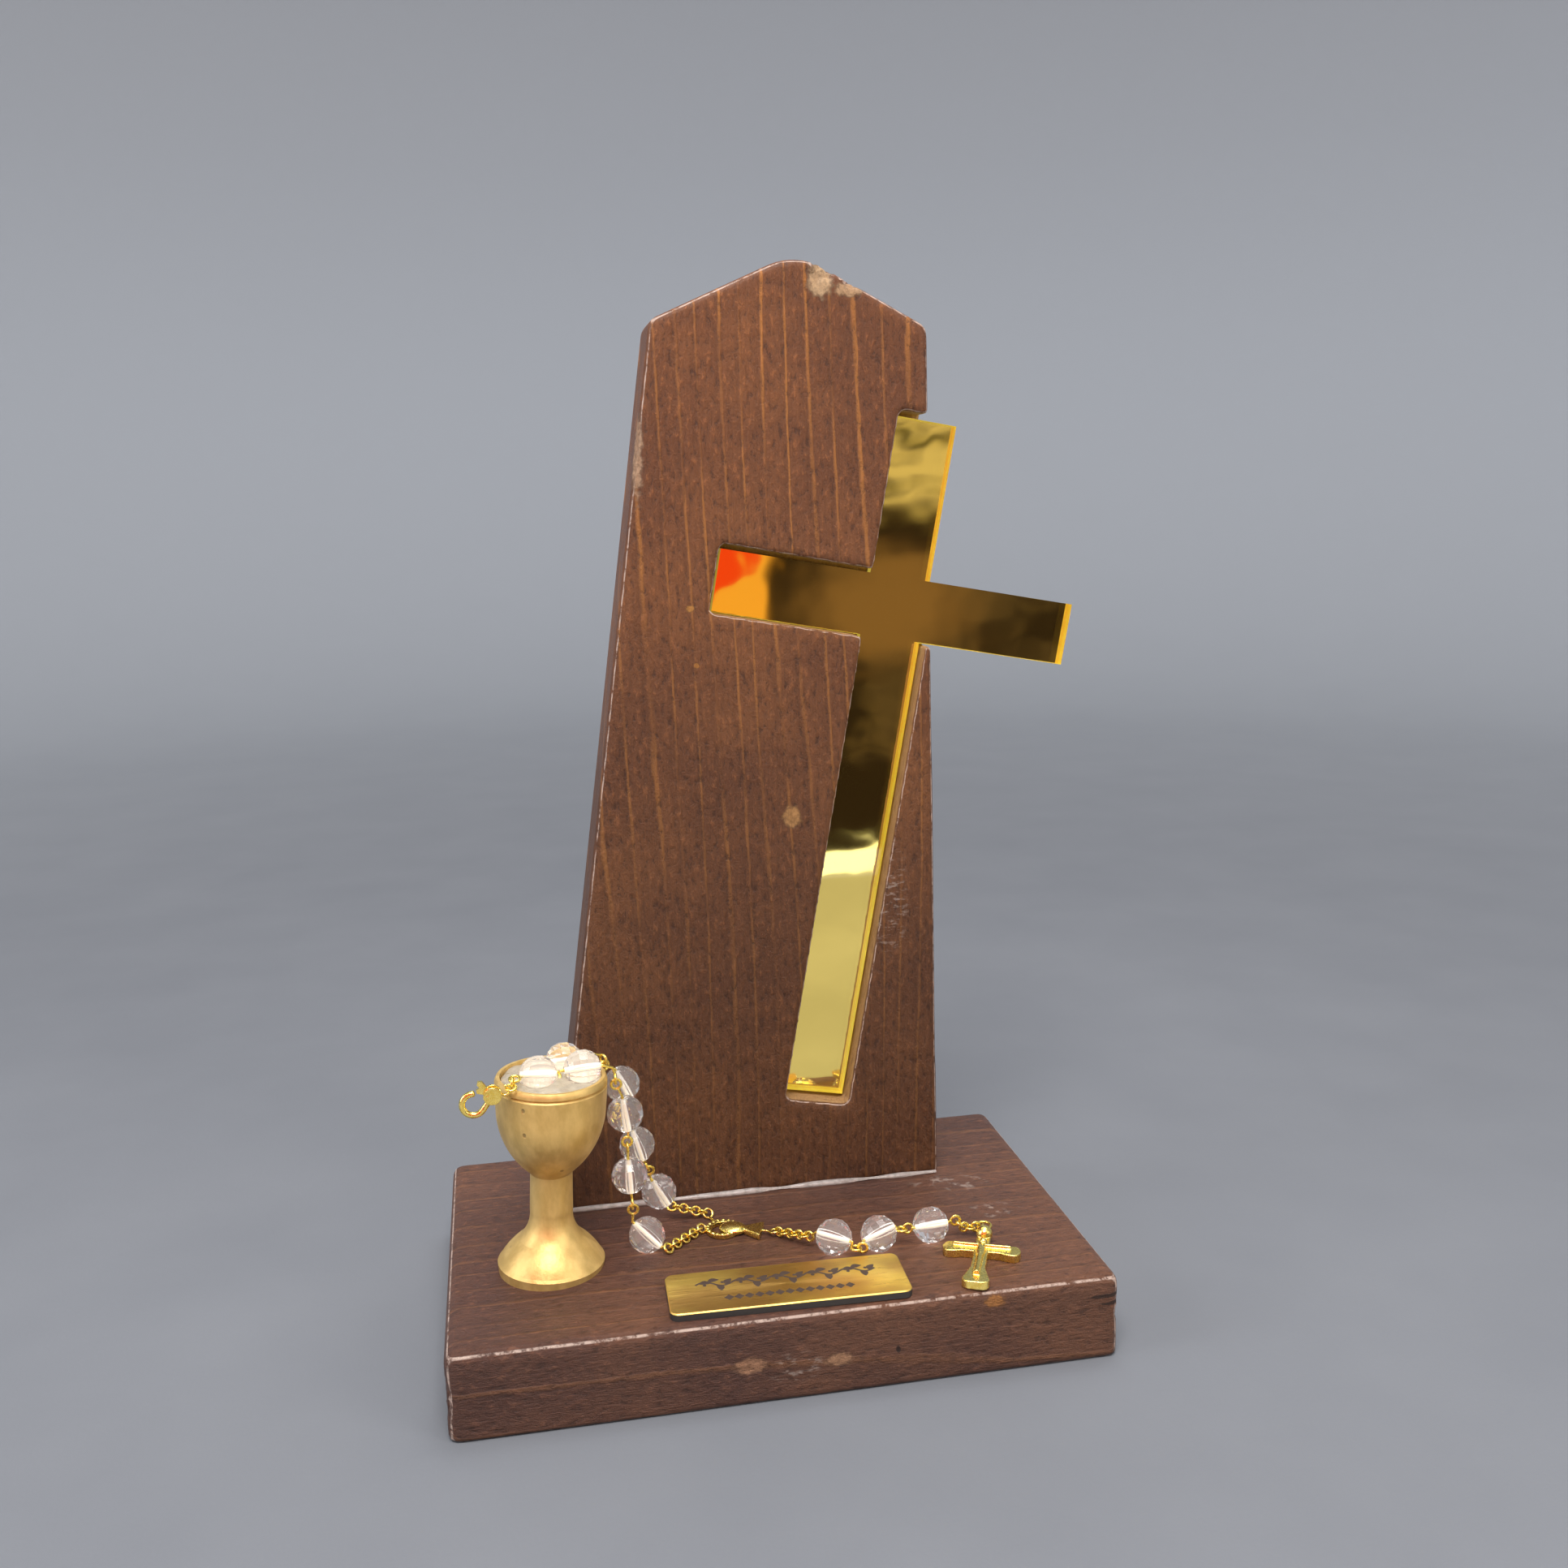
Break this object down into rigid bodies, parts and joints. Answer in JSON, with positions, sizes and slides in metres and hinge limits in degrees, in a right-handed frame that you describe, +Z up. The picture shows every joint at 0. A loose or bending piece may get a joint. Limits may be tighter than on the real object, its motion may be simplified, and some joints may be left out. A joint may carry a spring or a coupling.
{
  "type": "first communion keepsake stand",
  "caption": "L-shaped stained wood stand with a mirror cross let into its back board, a small chalice with a draped bead rosary, and a name plate.",
  "frame": {"origin": "middle of the base board's underside, 44.5 mm behind its front edge and 69.7 mm from each end", "axes": "+Z up, +X to the viewer's right along the base board's length, +Y to the back"},
  "size_m": [0.1505, 0.089, 0.2309],
  "materials": {
    "stained_wood": "dark stain, satin",
    "gold_acrylic": "clear tinted, polished",
    "gold_mirror": "mirror",
    "adhesive_strip": "matt",
    "clear_glue": "glossy, cloudy",
    "black_core": "cut edge",
    "brushed_gold": "brushed along its length",
    "gold_resin": "satin gold paint",
    "clear_bead": "faceted, clear",
    "gold_wire": "bright plating",
    "cast_gold": "bright plating"
  },
  "bodies": {
    "stand": {"base_board": "stained_wood", "back_board": "stained_wood", "joint_glue": "clear_glue", "cross_plate": "gold_acrylic", "cross_mirror": "gold_mirror", "cross_adhesive": "adhesive_strip", "plaque_core": "black_core", "plaque_face": "brushed_gold", "chalice": "gold_resin", "cup_glue": "clear_glue", "bead_01": "clear_bead", "bead_02": "clear_bead", "bead_09": "clear_bead", "bead_10": "clear_bead", "eye_pin_01": "gold_wire", "eye_pin_02": "gold_wire", "eye_pin_03": "gold_wire", "eye_pin_04": "gold_wire", "eye_pin_05": "gold_wire", "eye_pin_06": "gold_wire", "eye_pin_07": "gold_wire", "eye_pin_08": "gold_wire", "eye_pin_09": "gold_wire", "eye_pin_10": "gold_wire", "chain_lower": "gold_wire", "chain_upper": "gold_wire", "centrepiece": "cast_gold", "chain_tail": "gold_wire", "clasp_chain": "gold_wire"},
    "strand_bead_03": {"bead_03": "clear_bead"},
    "strand_bead_04": {"bead_04": "clear_bead"},
    "strand_bead_05": {"bead_05": "clear_bead"},
    "strand_bead_06": {"bead_06": "clear_bead"},
    "strand_bead_07": {"bead_07": "clear_bead"},
    "strand_bead_08": {"bead_08": "clear_bead"},
    "tail_pair": {"eye_pin_11": "gold_wire", "eye_pin_12": "gold_wire"},
    "tail_bead_11": {"bead_11": "clear_bead"},
    "tail_bead_12": {"bead_12": "clear_bead"},
    "tail_end": {"eye_pin_13": "gold_wire", "chain_cross": "gold_wire", "jump_ring": "gold_wire"},
    "tail_bead_13": {"bead_13": "clear_bead"},
    "crucifix": {"crucifix": "cast_gold", "corpus": "cast_gold"},
    "clasp": {"clasp_body": "cast_gold", "clasp_pin": "cast_gold"},
    "clasp_gate": {"clasp_lever": "cast_gold"}
  },
  "joints": [
    {"name": "bead_03_spin", "type": "hinge", "parent": "stand", "child": "strand_bead_03", "pos_m": [-0.0302, -0.011, 0.051], "axis": [0.1274, 0.0971, -0.9871], "continuous": true},
    {"name": "bead_04_spin", "type": "hinge", "parent": "stand", "child": "strand_bead_04", "pos_m": [-0.0298, -0.011, 0.0367], "axis": [0.0405, 0, -0.9992], "continuous": true},
    {"name": "bead_05_spin", "type": "hinge", "parent": "stand", "child": "strand_bead_05", "pos_m": [-0.0266, -0.0118, 0.02272], "axis": [0.6914, -0.2095, -0.6914], "continuous": true},
    {"name": "bead_06_spin", "type": "hinge", "parent": "stand", "child": "strand_bead_06", "pos_m": [-0.0225, 0.0002, 0.0268], "axis": [-0.4262, -0.2364, 0.8732], "continuous": true},
    {"name": "bead_07_spin", "type": "hinge", "parent": "stand", "child": "strand_bead_07", "pos_m": [-0.0273, -0.003, 0.0401], "axis": [-0.2612, -0.0943, 0.9607], "continuous": true},
    {"name": "bead_08_spin", "type": "hinge", "parent": "stand", "child": "strand_bead_08", "pos_m": [-0.03, -0.0025, 0.0544], "axis": [-0.3714, -0.1473, 0.9167], "continuous": true},
    {"name": "tail_lift", "type": "hinge", "parent": "stand", "child": "tail_pair", "pos_m": [0.00808, -0.01787, 0.02143], "axis": [-0.7485, -0.6631, 0], "range_deg": [0, 45]},
    {"name": "bead_11_spin", "type": "hinge", "parent": "tail_pair", "child": "tail_bead_11", "pos_m": [0.013, -0.0222, 0.02272], "axis": [0.7905, -0.6098, -0.0565], "continuous": true},
    {"name": "bead_12_spin", "type": "hinge", "parent": "tail_pair", "child": "tail_bead_12", "pos_m": [0.0228, -0.0229, 0.02272], "axis": [0.9329, 0.3317, 0.14], "continuous": true},
    {"name": "last_bead_lift", "type": "hinge", "parent": "tail_pair", "child": "tail_end", "pos_m": [0.02925, -0.02202, 0.02272], "axis": [0.0733, -0.9973, 0], "range_deg": [0, 50]},
    {"name": "bead_13_spin", "type": "hinge", "parent": "tail_end", "child": "tail_bead_13", "pos_m": [0.0349, -0.0217, 0.02272], "axis": [0.9952, 0.0981, 0], "continuous": true},
    {"name": "crucifix_lift", "type": "hinge", "parent": "tail_end", "child": "crucifix", "pos_m": [0.04685, -0.02199, 0.02057], "axis": [-0.9136, 0.4067, 0], "range_deg": [0, 90]},
    {"name": "clasp_swing", "type": "hinge", "parent": "stand", "child": "clasp", "pos_m": [-0.05484, -0.02147, 0.06301], "axis": [0, 1, 0], "range_deg": [0, 50]},
    {"name": "clasp_gate_hinge", "type": "hinge", "parent": "clasp", "child": "clasp_gate", "pos_m": [-0.0588, -0.0215, 0.0628], "axis": [0, -1, 0], "range_deg": [0, 22], "stiffness_Nm_per_rad": 0.004, "springref_deg": -17.19}
  ]
}
